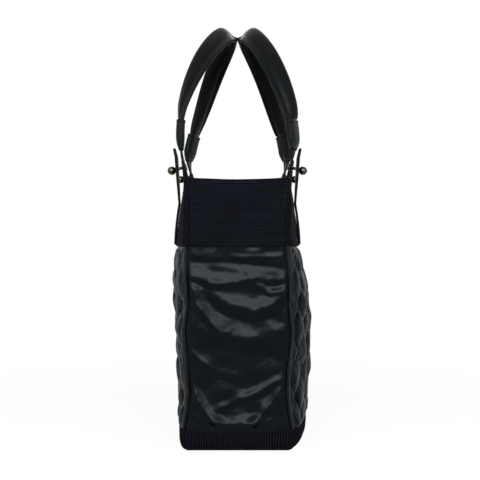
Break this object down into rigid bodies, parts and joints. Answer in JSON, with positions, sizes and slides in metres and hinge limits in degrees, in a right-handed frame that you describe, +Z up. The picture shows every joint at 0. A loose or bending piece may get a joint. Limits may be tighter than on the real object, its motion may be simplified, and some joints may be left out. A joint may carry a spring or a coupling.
{
  "type": "diaper bag",
  "caption": "Soft tote-shaped diaper bag with quilted sides, ribbed bands, an open top with a magnetic snap, inner pockets and two padded handles on ball studs that swing.",
  "frame": {"origin": "centre of the base on the floor, under the middle of the bag's outer box", "axes": "+Z up; +X to the right along the bag's length, seen from the front; the front is -Y, the side with the bottle pocket inside"},
  "size_m": [0.3838, 0.179, 0.5393],
  "materials": {
    "quilted_coated_fabric": "black coated fabric, diamond quilted on foam, soft gloss",
    "coated_fabric": "black coated fabric, fine grain, soft gloss",
    "ribbed_nylon": "black ribbed nylon, matt",
    "binding": "black grosgrain binding",
    "piping": "black piping, soft gloss",
    "base_cloth": "black coated base cloth",
    "lining_cloth": "dark grey woven lining",
    "pocket_cloth": "dark grey woven pocket cloth",
    "felt": "grey pressed felt",
    "fibre_board": "grey-brown fibre board",
    "foam": "firm foam cord",
    "grip_leather": "black leather, soft gloss, edge seams",
    "sleeve_leather": "black smooth leather",
    "strap_leather": "black leather strap with painted edges",
    "gunmetal": "polished dark gunmetal",
    "snap_metal": "satin nickel"
  },
  "bodies": {
    "root": {"front_quilted_panel": "quilted_coated_fabric", "back_quilted_panel": "quilted_coated_fabric", "right_gusset": "coated_fabric", "left_gusset": "coated_fabric", "front_top_band": "ribbed_nylon", "back_top_band": "ribbed_nylon", "right_top_band": "ribbed_nylon", "left_top_band": "ribbed_nylon", "band_interlining": "felt", "rim_binding": "binding", "corner_piping": "piping", "base_band": "ribbed_nylon", "base_panel": "base_cloth", "base_board": "fibre_board", "lining": "lining_cloth", "bottle_pocket": "pocket_cloth", "slip_pocket": "pocket_cloth", "snap_socket": "snap_metal", "snap_stud": "snap_metal", "snap_patches": "strap_leather", "snap_washers": "snap_metal", "front_right_anchor_strap": "strap_leather", "front_left_anchor_strap": "strap_leather", "back_right_anchor_strap": "strap_leather", "back_left_anchor_strap": "strap_leather"},
    "front_handle": {"front_grip_cover": "grip_leather", "front_grip_core": "foam", "front_right_sleeve": "sleeve_leather", "front_left_sleeve": "sleeve_leather", "front_right_handle_strap": "strap_leather", "front_left_handle_strap": "strap_leather", "front_right_strap_tail": "strap_leather", "front_left_strap_tail": "strap_leather", "front_ball_studs": "gunmetal", "front_stud_bases": "gunmetal"},
    "back_handle": {"back_grip_cover": "grip_leather", "back_grip_core": "foam", "back_right_sleeve": "sleeve_leather", "back_left_sleeve": "sleeve_leather", "back_right_handle_strap": "strap_leather", "back_left_handle_strap": "strap_leather", "back_right_strap_tail": "strap_leather", "back_left_strap_tail": "strap_leather", "back_ball_studs": "gunmetal", "back_stud_bases": "gunmetal"}
  },
  "joints": [
    {"name": "front_handle_swing", "type": "hinge", "parent": "root", "child": "front_handle", "pos_m": [0, -0.07995, 0.312], "axis": [1, 0, 0], "range_deg": [0, 150]},
    {"name": "back_handle_swing", "type": "hinge", "parent": "root", "child": "back_handle", "pos_m": [0, 0.07995, 0.312], "axis": [-1, 0, 0], "range_deg": [0, 150]}
  ]
}
